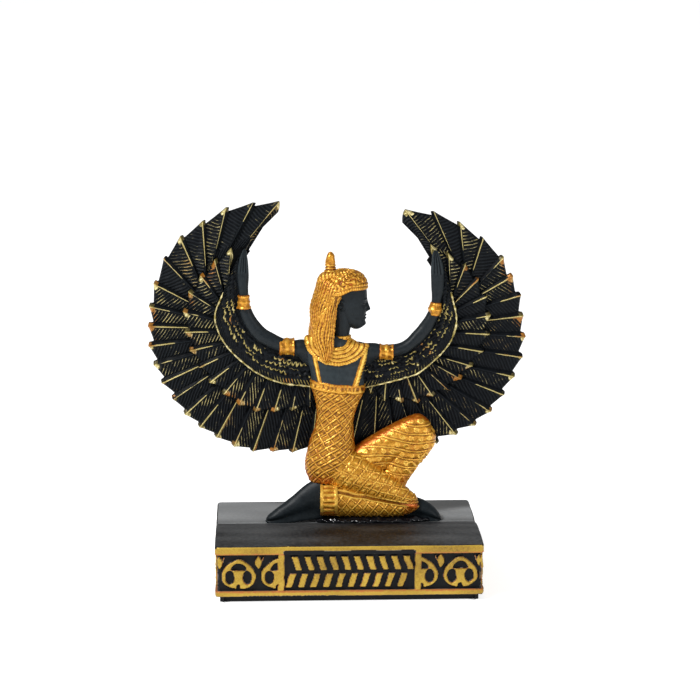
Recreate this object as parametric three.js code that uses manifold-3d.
// A winged kneeling figure on a plinth: a small cast resin statue, painted black and gold.
// Millimetres, +Z up. The front faces -Y and the head looks towards +X.
// The origin is the middle of the plinth's underside.
import * as THREE from 'three';
import { mergeVertices } from 'three/addons/utils/BufferGeometryUtils.js';
import Module from 'manifold-3d';

// Plinth
const PLINTH_WIDTH = 55.6;
const PLINTH_DEPTH = 38;
const PLINTH_HEIGHT = 12.1;
const FOOT_HEIGHT = 1.0;
const FOOT_INSET = 1.2;
const BORDER_HEIGHT = 1.5;
const BAND_RECESS = 0.9;
const CORNER_RADIUS = 1.2;
const GROOVE_Y = 2.2;
const GROOVE_DROP = 0.7;
const FRONT_HUMP = 0.45;
const BACK_HUMP = 0.1;
const BACK_DROP = 0.35;
const DIVIDER_X = 14.1;
const DIVIDER_WIDTH = 1.3;

// Ornament and strokes in the plinth's band
const RELIEF = 0.7;
const DROP_PITCH = 8.15;
const DROP_WIDTH = 7.2;
const DROP_HEIGHT = 6.6;
const BUD_WIDTH = 1.5;
const BUD_HEIGHT = 2.9;
const STROKE_ROWS = 2;
const STROKES_IN_ROW = 10;
const STROKE_WIDTH = 1.15;
const STROKE_HEIGHT = 2.9;
const STROKE_LEAN = 0.9;

// Figure
const SEAT_GAP = 0.3;
const BODY_SIDES = 10;
const COVER = 0.45;

const black = { color: 0x24282c, roughness: 0.45, metalness: 0 };
const radians = THREE.MathUtils.degToRad;

const wasm = await Module();
wasm.setup();

// Turns a closed geometry into a solid that can be joined and cut.
function solid(geometry) {
  const bare = geometry.index ? geometry.toNonIndexed() : geometry.clone();
  bare.deleteAttribute('normal');
  bare.deleteAttribute('uv');
  const merged = mergeVertices(bare, 1e-4);
  return new wasm.Manifold(new wasm.Mesh({
    numProp: 3,
    vertProperties: new Float32Array(merged.attributes.position.array),
    triVerts: new Uint32Array(merged.index.array),
  }));
}

// Joins a list of solids in pairs, so that no single join grows too early.
function join(solids) {
  let list = solids;
  while (list.length > 1) {
    const next = [];
    for (let i = 0; i < list.length; i += 2) {
      next.push(i + 1 < list.length ? list[i].add(list[i + 1]) : list[i]);
    }
    list = next;
  }
  return list[0];
}

function meshOf(name, part, look) {
  const data = part.getMesh();
  const geometry = new THREE.BufferGeometry();
  const points = new Float32Array(data.numVert * 3);
  for (let i = 0; i < data.numVert; i += 1) {
    for (let k = 0; k < 3; k += 1) {
      points[i * 3 + k] = data.vertProperties[i * data.numProp + k];
    }
  }
  geometry.setAttribute('position', new THREE.BufferAttribute(points, 3));
  geometry.setIndex(Array.from(data.triVerts));
  geometry.computeVertexNormals();
  const mesh = new THREE.Mesh(geometry, new THREE.MeshStandardMaterial(look));
  mesh.name = name;
  return mesh;
}

function block(x0, x1, y0, y1, z0, z1) {
  const box = new THREE.BoxGeometry(x1 - x0, y1 - y0, z1 - z0);
  box.translate((x0 + x1) / 2, (y0 + y1) / 2, (z0 + z1) / 2);
  return solid(box);
}

// Closes a stack of rings, each a list of points in the same order, with a flat fan at both ends.
function skin(rings) {
  const count = rings[0].length;
  const points = rings.flat();
  const index = [];
  for (let r = 0; r + 1 < rings.length; r += 1) {
    for (let i = 0; i < count; i += 1) {
      const a = r * count + i;
      const b = r * count + (i + 1) % count;
      index.push(a, b, b + count, a, b + count, a + count);
    }
  }
  const last = (rings.length - 1) * count;
  for (let i = 1; i + 1 < count; i += 1) {
    index.push(0, i + 1, i, last, last + i, last + i + 1);
  }
  const geometry = new THREE.BufferGeometry();
  geometry.setAttribute('position', new THREE.Float32BufferAttribute(points.flatMap((p) => [p.x, p.y, p.z]), 3));
  geometry.setIndex(index);
  const made = solid(geometry);
  if (made.volume() > 0) return made;
  for (let i = 0; i < index.length; i += 3) {
    [index[i + 1], index[i + 2]] = [index[i + 2], index[i + 1]];
  }
  geometry.setIndex(index);
  return solid(geometry);
}

// A limb is a smooth run of ellipses along a path that stays close to the plane of the front view.
// Each station is [x, y, z, half height across the path, half depth].
function limb(stations, { steps = 6, sides = BODY_SIDES, grow = 0 } = {}) {
  const path = new THREE.CatmullRomCurve3(stations.map((s) => new THREE.Vector3(s[0], s[1], s[2])));
  const girth = new THREE.CatmullRomCurve3(stations.map((s) => new THREE.Vector3(s[3] + grow, s[4] + grow, 0)));
  const rings = [];
  for (let i = 0; i <= steps; i += 1) {
    const centre = path.getPoint(i / steps);
    const along = path.getTangent(i / steps);
    const size = girth.getPoint(i / steps);
    const across = new THREE.Vector3(0, 1, 0).cross(along).normalize();
    const depth = along.clone().cross(across).normalize();
    const ring = [];
    for (let k = 0; k < sides; k += 1) {
      const angle = (k / sides) * Math.PI * 2;
      ring.push(centre.clone()
        .addScaledVector(across, Math.cos(angle) * Math.max(size.x, 0.08))
        .addScaledVector(depth, Math.sin(angle) * Math.max(size.y, 0.08)));
    }
    rings.push(ring);
  }
  return skin(rings);
}

function ball(x, y, z, rx, ry, rz, wide = 10, high = 6) {
  const geometry = new THREE.SphereGeometry(1, wide, high);
  geometry.scale(rx, ry, rz);
  geometry.translate(x, y, z);
  return solid(geometry);
}

// Extrudes a shape drawn in the front view from yFront back to yBack.
function slab(shape, yFront, yBack, curveSegments = 12) {
  const geometry = new THREE.ExtrudeGeometry(shape, { depth: yBack - yFront, bevelEnabled: false, curveSegments });
  geometry.rotateX(Math.PI / 2);
  geometry.translate(0, yBack, 0);
  return solid(geometry);
}

// Plinth
// Height of the top at depth y: two shallow humps that meet in a groove.
function topHeight(y) {
  const half = PLINTH_DEPTH / 2;
  const inFront = y < GROOVE_Y;
  const span = inFront ? GROOVE_Y + half : half - GROOVE_Y;
  const t = Math.abs(y - GROOVE_Y) / span;
  const rise = GROOVE_DROP * Math.min(1, t * 2.2);
  const hump = (inFront ? FRONT_HUMP : BACK_HUMP) * Math.sin(Math.PI * Math.min(1, Math.max(0, t)));
  const fall = inFront ? 0 : BACK_DROP;
  return PLINTH_HEIGHT - GROOVE_DROP + Math.sin((rise / GROOVE_DROP) * Math.PI / 2) * (GROOVE_DROP - fall) + hump;
}

function roundedPlan(halfX, halfY, radius) {
  const shape = new THREE.Shape();
  shape.moveTo(-halfX + radius, -halfY);
  shape.lineTo(halfX - radius, -halfY);
  shape.absarc(halfX - radius, -halfY + radius, radius, -Math.PI / 2, 0);
  shape.absarc(halfX - radius, halfY - radius, radius, 0, Math.PI / 2);
  shape.absarc(-halfX + radius, halfY - radius, radius, Math.PI / 2, Math.PI);
  shape.absarc(-halfX + radius, -halfY + radius, radius, Math.PI, Math.PI * 1.5);
  return shape;
}

function level(inset, z0, z1, radius) {
  const plan = roundedPlan(PLINTH_WIDTH / 2 - inset, PLINTH_DEPTH / 2 - inset, radius);
  const geometry = new THREE.ExtrudeGeometry(plan, { depth: z1 - z0, bevelEnabled: false, curveSegments: 3 });
  geometry.translate(0, 0, z0);
  return solid(geometry);
}

// Everything under the curved top, over the whole length, raised by lift.
function underTop(lift) {
  const steps = 10;
  const half = PLINTH_DEPTH / 2 + 2;
  const profile = new THREE.Shape();
  profile.moveTo(-half, -1);
  profile.lineTo(half, -1);
  for (let i = steps; i >= 0; i -= 1) {
    const y = -PLINTH_DEPTH / 2 + (PLINTH_DEPTH * i) / steps;
    const outward = i === steps ? half : i === 0 ? -half : y;
    profile.lineTo(outward, topHeight(y) + lift);
  }
  const geometry = new THREE.ExtrudeGeometry(profile, { depth: PLINTH_WIDTH + 4, bevelEnabled: false });
  geometry.rotateX(Math.PI / 2);
  geometry.rotateZ(Math.PI / 2);
  geometry.translate(-PLINTH_WIDTH / 2 - 2, 0, 0);
  return solid(geometry);
}

// A palmette drop: pointed at the top, round below, pierced on both sides of its stem.
function dropShape(pierced) {
  const points = 10;
  const shape = new THREE.Shape();
  for (let i = 0; i <= points; i += 1) {
    const angle = (i / points) * Math.PI * 2;
    const taper = 0.5 - 0.5 * Math.cos(angle);
    const x = Math.sin(angle) * (DROP_WIDTH / 2) * (0.45 + 0.55 * taper);
    const z = Math.cos(angle) * (DROP_HEIGHT / 2);
    if (i === 0) shape.moveTo(x, z);
    else if (i < points) shape.lineTo(x, z);
  }
  if (pierced) {
    for (const side of [-1, 1]) {
      const hole = new THREE.Path();
      hole.absellipse(side * DROP_WIDTH * 0.21, -DROP_HEIGHT * 0.16, DROP_WIDTH * 0.11, DROP_HEIGHT * 0.2, 0, Math.PI * 2);
      shape.holes.push(hole);
    }
  }
  return shape;
}

function budShape() {
  const shape = new THREE.Shape();
  shape.moveTo(0, BUD_HEIGHT / 2);
  shape.quadraticCurveTo(BUD_WIDTH * 0.75, 0, 0, -BUD_HEIGHT / 2);
  shape.quadraticCurveTo(-BUD_WIDTH * 0.75, 0, 0, BUD_HEIGHT / 2);
  return shape;
}

// One face's ornament, drawn as seen from in front of the face, then turned to its side.
function ornament(length, drops, buds, pierced, distance, turn) {
  const middle = (FOOT_HEIGHT + PLINTH_HEIGHT) / 2;
  const parts = [
    ...drops.map((x) => slab(dropShape(pierced), -distance - RELIEF, -distance + 0.3, 3)
      .translate([x, 0, middle - 0.35])),
    ...buds.map((x) => slab(budShape(), -distance - RELIEF, -distance + 0.3, 3)
      .translate([x, 0, middle + 2.1])),
  ];
  const window = block(-length / 2, length / 2, -distance - 2, -distance + 2, FOOT_HEIGHT, PLINTH_HEIGHT);
  return join(parts).intersect(window).rotate([0, 0, turn]);
}

// Rows of short slanted strokes that stand where an inscription would be.
function strokes(distance) {
  const parts = [];
  const span = 2 * DIVIDER_X - DIVIDER_WIDTH;
  const pitch = span / (STROKES_IN_ROW + 0.5);
  const middle = (FOOT_HEIGHT + PLINTH_HEIGHT) / 2;
  for (let row = 0; row < STROKE_ROWS; row += 1) {
    const lean = row % 2 ? -STROKE_LEAN : STROKE_LEAN;
    const z = middle + (0.5 - row) * (STROKE_HEIGHT + 0.75);
    for (let i = 0; i < STROKES_IN_ROW; i += 1) {
      const x = -span / 2 + pitch * (i + 0.5 + (row % 2) * 0.5);
      const shape = new THREE.Shape();
      shape.moveTo(x - STROKE_WIDTH / 2 - lean / 2, z - STROKE_HEIGHT / 2);
      shape.lineTo(x + STROKE_WIDTH / 2 - lean / 2, z - STROKE_HEIGHT / 2);
      shape.lineTo(x + STROKE_WIDTH / 2 + lean / 2, z + STROKE_HEIGHT / 2);
      shape.lineTo(x - STROKE_WIDTH / 2 + lean / 2, z + STROKE_HEIGHT / 2);
      parts.push(slab(shape, -distance - RELIEF, -distance + 0.3));
    }
  }
  return parts;
}

// Places along a face, in pitches from its middle.
const SIDE_DROPS = [-1.5, -0.5, 0.5, 1.5];
const SIDE_BUDS = [-1, 0, 1];
const BACK_DROPS = [-2.5, -1.5, -0.5, 0.5, 1.5, 2.5];

function plinth() {
  const tall = PLINTH_HEIGHT + 2;
  const frontFace = PLINTH_DEPTH / 2 - BAND_RECESS;
  const sideFace = PLINTH_WIDTH / 2 - BAND_RECESS;
  const panel = PLINTH_WIDTH / 2 - DIVIDER_X - DIVIDER_WIDTH / 2;
  const parts = [
    level(FOOT_INSET, 0, FOOT_HEIGHT + 0.5, CORNER_RADIUS),
    level(0, FOOT_HEIGHT, FOOT_HEIGHT + BORDER_HEIGHT, CORNER_RADIUS),
    level(BAND_RECESS, FOOT_HEIGHT, PLINTH_HEIGHT, CORNER_RADIUS),
    level(0, PLINTH_HEIGHT - BORDER_HEIGHT, tall, CORNER_RADIUS),
    ...strokes(frontFace),
  ];
  for (const side of [-1, 1]) {
    const x = side * DIVIDER_X;
    parts.push(block(x - DIVIDER_WIDTH / 2, x + DIVIDER_WIDTH / 2, -PLINTH_DEPTH / 2, -frontFace + 0.3,
      FOOT_HEIGHT + 0.5, PLINTH_HEIGHT - 0.5));
    const frontDrops = [-0.75, 0.25].map((n) => side * n * DROP_PITCH);
    const frontBuds = [-0.25].map((n) => side * n * DROP_PITCH);
    parts.push(ornament(panel - 0.6, frontDrops, frontBuds, true, frontFace, 0)
      .translate([side * (PLINTH_WIDTH / 2 - panel / 2 - 0.3), 0, 0]));
    parts.push(ornament(PLINTH_DEPTH - 2 * CORNER_RADIUS, SIDE_DROPS.map((n) => n * DROP_PITCH),
      SIDE_BUDS.map((n) => n * DROP_PITCH), true, sideFace, side * 90));
  }
  parts.push(ornament(PLINTH_WIDTH - 2 * CORNER_RADIUS, BACK_DROPS.map((n) => n * DROP_PITCH),
    [], false, frontFace, 180));
  return join(parts).intersect(underTop(0));
}

// Figure
const TORSO = [
  [-3.2, 4.2, 19.6, 3.2, 2.8],
  [-3.2, 4.2, 24.0, 5.5, 4.2],
  [-2.9, 4.2, 28.0, 4.9, 4.1],
  [-2.5, 4.1, 31.0, 4.2, 3.5],
  [-2.25, 4.0, 34.0, 3.9, 3.2],
  [-1.95, 3.9, 37.0, 4.4, 3.3],
  [-1.6, 3.8, 40.4, 5.5, 3.6],
  [-1.7, 3.9, 43.8, 5.5, 3.4],
  [-1.8, 4.2, 47.5, 5.9, 3.0],
  [-1.7, 4.6, 50.2, 5.3, 2.3],
  [-1.3, 4.8, 51.6, 2.6, 1.8],
];

function torso(grow = 0) {
  return limb(TORSO, { steps: 10, sides: 12, grow });
}

// The collar, straps and top hem hug the chest: each is a slightly thicker chest inside a cutter.
function chestTrim() {
  const chest = torso(COVER);
  const collar = new THREE.Shape();
  collar.absellipse(-1.5, 51.0, 6.7, 5.2, 0, Math.PI * 2);
  const collarCut = slab(collar, -4, 12, 9);
  const hem = block(-9, 6, -4, 12, 41.2, 42.5);
  const leftStrap = block(-6.7, -5.7, -4, 12, 42, 49);
  const rightStrap = block(2.2, 3.4, -4, 12, 42, 49);
  return chest.intersect(join([collarCut, hem, leftStrap, rightStrap]));
}

function head() {
  return [
    limb([
      [3.0, 4.8, 53.2, 0.8, 0.8],
      [2.5, 4.8, 54.3, 1.8, 1.6],
      [1.8, 4.8, 55.8, 2.7, 2.2],
      [1.3, 4.8, 58.0, 3.3, 2.7],
      [1.0, 4.8, 60.4, 3.6, 3.0],
      [0.7, 4.8, 63.0, 3.6, 3.0],
    ], { steps: 6 }),
    limb([
      [4.2, 4.8, 59.7, 0.3, 0.35],
      [4.75, 4.8, 58.2, 0.45, 0.45],
      [4.7, 4.8, 57.2, 0.55, 0.7],
      [4.2, 4.8, 56.9, 0.3, 0.5],
    ], { steps: 4, sides: 6 }),
    ball(4.0, 4.8, 55.75, 0.7, 0.9, 0.5, 6, 4),
    ball(3.45, 4.8, 54.1, 0.8, 0.9, 0.75, 6, 4),
    ball(3.7, 3.0, 58.9, 0.75, 0.5, 0.42, 6, 4),
    ball(3.7, 6.6, 58.9, 0.75, 0.5, 0.42, 6, 4),
    limb([
      [-0.6, 4.8, 49.5, 1.9, 1.9],
      [-0.7, 4.8, 52.0, 1.7, 1.6],
      [-1.0, 4.8, 55.4, 3.0, 1.8],
    ], { steps: 4 }),
    limb([
      [-0.75, 4.8, 50.9, 2.0, 2.0],
      [-0.65, 4.8, 51.4, 2.1, 2.1],
      [-0.55, 4.8, 51.9, 2.0, 2.0],
    ], { steps: 2 }),
  ];
}

// The lock that falls over the near shoulder. The far one mirrors it behind the head's own plane.
const HEAD_Y = 4.8;
const LAPPET = [
  [-4.5, 2.6, 54.5, 2.3, 1.7],
  [-4.5, 1.9, 51.0, 2.3, 1.6],
  [-4.2, 1.2, 48.3, 2.0, 1.3],
  [-4.05, 0.9, 46.2, 1.7, 1.0],
  [-4.0, 0.9, 45.7, 1.2, 0.7],
];

function wig() {
  const parts = [
    ball(-0.3, 4.8, 61.9, 5.0, 4.1, 4.2, 12, 8).intersect(block(-9, 9, -3, 12, 61.1, 70)),
    limb([
      [4.6, 4.8, 61.2, 0.5, 1.6],
      [4.75, 4.8, 61.6, 0.55, 1.9],
      [4.6, 4.8, 62.1, 0.5, 1.6],
    ], { steps: 2, sides: 8 }),
    limb([
      [-1.6, 4.8, 65.2, 1.8, 1.8],
      [-2.2, 4.8, 63.2, 3.4, 3.7],
      [-3.5, 4.8, 60.5, 3.3, 4.1],
      [-4.6, 4.8, 57.5, 2.9, 4.2],
      [-4.9, 4.8, 54.5, 2.7, 4.1],
      [-5.2, 4.7, 51.8, 2.7, 3.8],
      [-5.0, 4.6, 49.6, 2.3, 3.4],
      [-4.6, 4.5, 48.2, 1.6, 2.8],
    ], { steps: 7, sides: 10 }),
    limb(LAPPET, { steps: 5, sides: 8 }),
    limb(LAPPET.map(([x, y, z, a, b]) => [x + 0.6, 2 * HEAD_Y - y, z, a, b]), { steps: 5, sides: 8 }),
    limb([
      [-3.2, 4.8, 64.4, 1.5, 1.2],
      [-3.2, 4.8, 66.0, 1.2, 1.0],
      [-3.1, 4.8, 68.0, 0.8, 0.7],
      [-3.05, 4.8, 69.6, 0.25, 0.25],
    ], { steps: 6, sides: 8 }),
  ];
  return parts;
}

// Both arms follow the inner edge of the wings and end in an upright hand.
const LEFT_ARM = [
  [-6.8, 4.8, 49.4, 1.9, 1.8],
  [-12.3, 4.6, 49.3, 1.5, 1.5],
  [-17.2, 4.6, 51.6, 1.55, 1.4],
  [-19.7, 4.7, 54.2, 1.45, 1.3],
  [-21.2, 4.8, 57.5, 1.25, 1.2],
  [-21.5, 4.9, 60.8, 1.0, 1.0],
  [-21.6, 4.9, 64.2, 1.2, 0.9],
  [-21.5, 5.0, 67.5, 1.0, 0.8],
  [-21.2, 5.1, 70.4, 0.3, 0.4],
];
const RIGHT_ARM = [
  [2.8, 4.8, 49.2, 1.9, 1.8],
  [8.6, 4.6, 48.2, 1.4, 1.5],
  [12.7, 4.6, 49.2, 1.25, 1.4],
  [16.2, 4.7, 52.3, 1.4, 1.3],
  [18.4, 4.8, 55.8, 1.2, 1.2],
  [19.2, 4.9, 58.6, 1.0, 1.0],
  [19.5, 4.9, 62.2, 1.35, 0.9],
  [19.4, 5.0, 66.2, 1.3, 0.8],
  [19.0, 5.1, 69.8, 0.5, 0.4],
];

function cuff(x, z, alongX, alongZ, halfLength, half) {
  return limb([-1, 0, 1].map((n) => [x + n * alongX * halfLength, 4.7, z + n * alongZ * halfLength, half, half - 0.15]),
    { steps: 2, sides: 8 });
}

function arms() {
  return [
    limb(LEFT_ARM, { steps: 10, sides: 8 }),
    limb(RIGHT_ARM, { steps: 10, sides: 8 }),
    cuff(-12.4, 49.4, 1, 0, 1.7, 1.9),
    cuff(8.65, 48.1, 1, -0.05, 1.6, 1.75),
    cuff(-21.5, 59.1, 0, 1, 1.6, 1.45),
    cuff(19.0, 57.3, 0.25, 1, 1.6, 1.45),
  ];
}

function legs() {
  return [
    limb([
      [-4.2, 4.0, 24.5, 3.6, 3.4],
      [0.5, 3.0, 22.4, 4.6, 3.2],
      [6.0, 2.4, 19.8, 3.6, 2.8],
      [11.5, 2.1, 17.3, 2.4, 2.4],
      [15.2, 2.1, 16.0, 1.0, 1.2],
    ], { steps: 6 }),
    limb([
      [-5.6, 2.2, 16.4, 3.5, 2.4],
      [0.0, 2.1, 16.1, 3.4, 2.6],
      [6.0, 2.1, 15.3, 2.6, 2.5],
      [11.5, 2.1, 15.0, 2.2, 2.3],
      [15.4, 2.1, 15.2, 1.0, 1.2],
    ], { steps: 6 }),
    limb([
      [-1.5, 5.0, 21.0, 3.4, 3.0],
      [4.3, 5.0, 24.4, 3.9, 3.0],
      [10.3, 4.9, 28.2, 3.8, 2.8],
      [15.9, 4.7, 31.1, 3.6, 2.7],
      [18.8, 4.6, 32.5, 1.6, 1.4],
    ], { steps: 6 }),
    limb([
      [17.4, 4.7, 32.4, 1.8, 2.2],
      [15.4, 4.8, 29.0, 3.6, 2.6],
      [12.6, 4.9, 25.0, 3.6, 2.5],
      [10.3, 5.0, 20.5, 3.2, 2.3],
      [9.6, 5.0, 15.5, 2.3, 2.2],
    ], { steps: 6 }),
    cuff(-3.7, 16.5, 1, 0, 1.8, 3.3).translate([0, -2.5, 0]),
  ];
}

function feet() {
  return [
    limb([
      [-3.5, 3.0, 17.0, 4.6, 2.4],
      [-8.0, 2.9, 16.4, 4.6, 2.1],
      [-11.0, 2.7, 14.7, 3.2, 1.9],
      [-13.5, 2.5, 13.4, 2.3, 1.7],
      [-15.5, 2.3, 12.6, 1.5, 1.4],
      [-17.0, 2.2, 12.2, 0.5, 0.8],
    ], { steps: 6, sides: 8 }),
    limb([
      [9.5, 4.6, 13.6, 2.4, 2.3],
      [14.5, 4.0, 13.8, 2.5, 2.1],
      [17.5, 3.5, 13.0, 2.1, 2.0],
      [19.6, 3.1, 12.2, 1.3, 1.6],
      [20.3, 3.0, 11.9, 0.5, 0.9],
    ], { steps: 5, sides: 8 }),
    footing(),
  ];
}

// The uneven ledge of resin and glue under the legs.
function footing() {
  const plan = new THREE.Shape();
  plan.moveTo(-7.5, 0.4);
  plan.quadraticCurveTo(-2, -0.9, 6, -0.5);
  plan.quadraticCurveTo(14, -0.9, 19.5, 1.2);
  plan.quadraticCurveTo(21, 4, 18, 6);
  plan.lineTo(-6, 7);
  plan.quadraticCurveTo(-10, 4, -7.5, 0.4);
  const geometry = new THREE.ExtrudeGeometry(plan, { depth: 3, bevelEnabled: false, curveSegments: 4 });
  geometry.translate(0, 0, 10.5);
  return solid(geometry);
}

// Wings
// Angles run round the wing's outline from straight down (0) through outwards (90) to the top (180).
// side is -1 for the wing on the left of the front view and 1 for the wing on the right.
const WINGS = [
  { side: -1, x: -14.6, z: 52.6, body: -4, waistZ: 32, covert: { x: -10.0, z: 57.5, r: 17.4 },
    outer: { radius: 27.4, from: -9, count: 20, lastTip: 1.6, lastRoot: 2.4 }, middle: { radius: 19.2, from: -24, count: 16 } },
  { side: 1, x: 12.8, z: 52.5, body: 1.5, waistZ: 26.5, covert: { x: 8.0, z: 56.2, r: 16.1 },
    outer: { radius: 26.0, from: -28, count: 22, lastTip: 2.6, lastRoot: 3.6 }, middle: { radius: 17.8, from: -36, count: 17 } },
];

const OUTER_TIER = { end: 181, length: 12, front: 6.5, back: 8.1 };
const MIDDLE_TIER = { end: 158, length: 7.5, front: 5.7, back: 8.6 };
const BACKING_FRONT = 6.9;
const COVERT_FRONT = 5.2;
const RIB_RADIUS = 0.35;
const QUILL_STEP = 0.6;
const QUILL_WIDTH = 0.55;
const TIP_NOTCH = 1.0;
const FIRST_VANE_TIP = 1.6;
const FIRST_VANE_ROOT = 3.2;
const FIRST_VANE_CUT = 2.2;

function ease(t) {
  const c = Math.min(1, Math.max(0, t));
  return c * c * (3 - 2 * c);
}

// A feather points outwards, leans over towards the head near the top and towards the body below.
function pointing(angle) {
  return angle + 46 * ease((angle - 90) / 90) + 22 * ease((30 - angle) / 45);
}

// A tier of feathers is one pleated strip. It starts with the first feather's vane on the body's side. Each
// feather then gives two rings: its raised quill, which ends in the tip, and the lower foot of the next vane.
// lastTip and lastRoot widen the top feather's own inner vane.
function tier(wing, { radius, from, count, lastTip = QUILL_WIDTH, lastRoot = 0 }, { end, length, front, back }) {
  const direction = (angle) => new THREE.Vector3(wing.side * Math.sin(radians(angle)), 0, -Math.cos(radians(angle)));
  const ring = (inner, outer, y) => [
    inner.clone().setY(y),
    outer.clone().setY(y),
    outer.clone().setY(back),
    inner.clone().setY(back),
  ];
  const rings = [];
  for (let i = 0; i < count; i += 1) {
    const angle = from + ((end - from) * i) / (count - 1);
    const along = direction(pointing(angle));
    const across = direction(pointing(angle) + 90);
    const tip = new THREE.Vector3(wing.x, 0, wing.z).addScaledVector(direction(angle), radius);
    const root = tip.clone().addScaledVector(along, -length);
    if (i === 0) {
      const start = tip.clone().addScaledVector(across, -FIRST_VANE_TIP).addScaledVector(along, -FIRST_VANE_CUT);
      rings.push(ring(root.clone().addScaledVector(across, -FIRST_VANE_ROOT), start, front + QUILL_STEP));
    }
    const last = i === count - 1;
    const notch = tip.clone()
      .addScaledVector(across, last ? lastTip : QUILL_WIDTH)
      .addScaledVector(along, last ? -TIP_NOTCH / 2 : -TIP_NOTCH);
    const foot = root.clone().addScaledVector(across, last ? lastRoot : QUILL_WIDTH * 0.15);
    rings.push(ring(root, tip, front), ring(foot, notch, front + QUILL_STEP));
  }
  return skin(rings);
}

// A point at an angle on a circle about the middle of the wing's curved rib. scale 1 is the rib itself.
function onRib(wing, angle, scale) {
  const radius = wing.covert.r * scale;
  return [
    wing.covert.x + wing.side * Math.sin(radians(angle)) * radius,
    wing.covert.z - Math.cos(radians(angle)) * radius,
  ];
}

function outline(points) {
  return new THREE.Shape(points.map(([x, z]) => new THREE.Vector2(x, z)));
}

// Plates behind the feathers: a crescent that closes the joint between the tiers and the small feathers, and
// one beside the waist that fills the wing down to the thigh.
function backing(wing) {
  const outside = [[138, 1.16], [128, 1.22], [118, 1.27], [108, 1.27], [90, 1.18], [60, 1.13], [30, 1.13], [0, 1.1]];
  const inside = [[0, 0.9], [50, 0.88], [100, 0.88], [125, 0.85], [138, 0.95]];
  const crescent = outline([...outside, ...inside].map(([angle, scale]) => onRib(wing, angle, scale)));
  const waist = block(wing.body - 3, wing.body + 5, BACKING_FRONT, MIDDLE_TIER.back, wing.waistZ, 40);
  return [slab(crescent, BACKING_FRONT, MIDDLE_TIER.back), waist];
}

// The small feathers between the arm and the curved rib, and the rib itself.
function coverts(wing) {
  const lowest = 38.5;
  const inside = onRib(wing, -8, 1);
  const points = [[wing.body, 50], [wing.body, lowest], [inside[0], lowest], inside];
  for (let a = 4; a <= 100; a += 12) points.push(onRib(wing, a, 1));
  for (const [a, k] of [[118, 0.97], [133, 0.96], [112, 0.66], [85, 0.62], [45, 0.62], [5, 0.55]]) {
    points.push(onRib(wing, a, k));
  }
  const rib = [];
  for (let a = -2; a <= 98; a += 20) {
    const [x, z] = onRib(wing, a, 1);
    rib.push([x, COVERT_FRONT, z, RIB_RADIUS, RIB_RADIUS]);
  }
  return [
    slab(outline(points), COVERT_FRONT, MIDDLE_TIER.back),
    limb(rib, { steps: 9, sides: 6 }),
  ];
}

function wingParts(wing) {
  return [
    tier(wing, wing.outer, OUTER_TIER),
    tier(wing, wing.middle, MIDDLE_TIER),
    ...backing(wing),
    ...coverts(wing),
  ];
}

function wingedFigure() {
  const whole = join([
    torso(),
    chestTrim(),
    ...head(),
    ...wig(),
    ...arms(),
    ...legs(),
    ...feet(),
    ...WINGS.flatMap(wingParts),
  ]);
  return whole.subtract(underTop(SEAT_GAP));
}

const statue = new THREE.Group();
statue.add(meshOf('plinth', plinth(), black));
statue.add(meshOf('winged_figure', wingedFigure(), black));

export default statue;
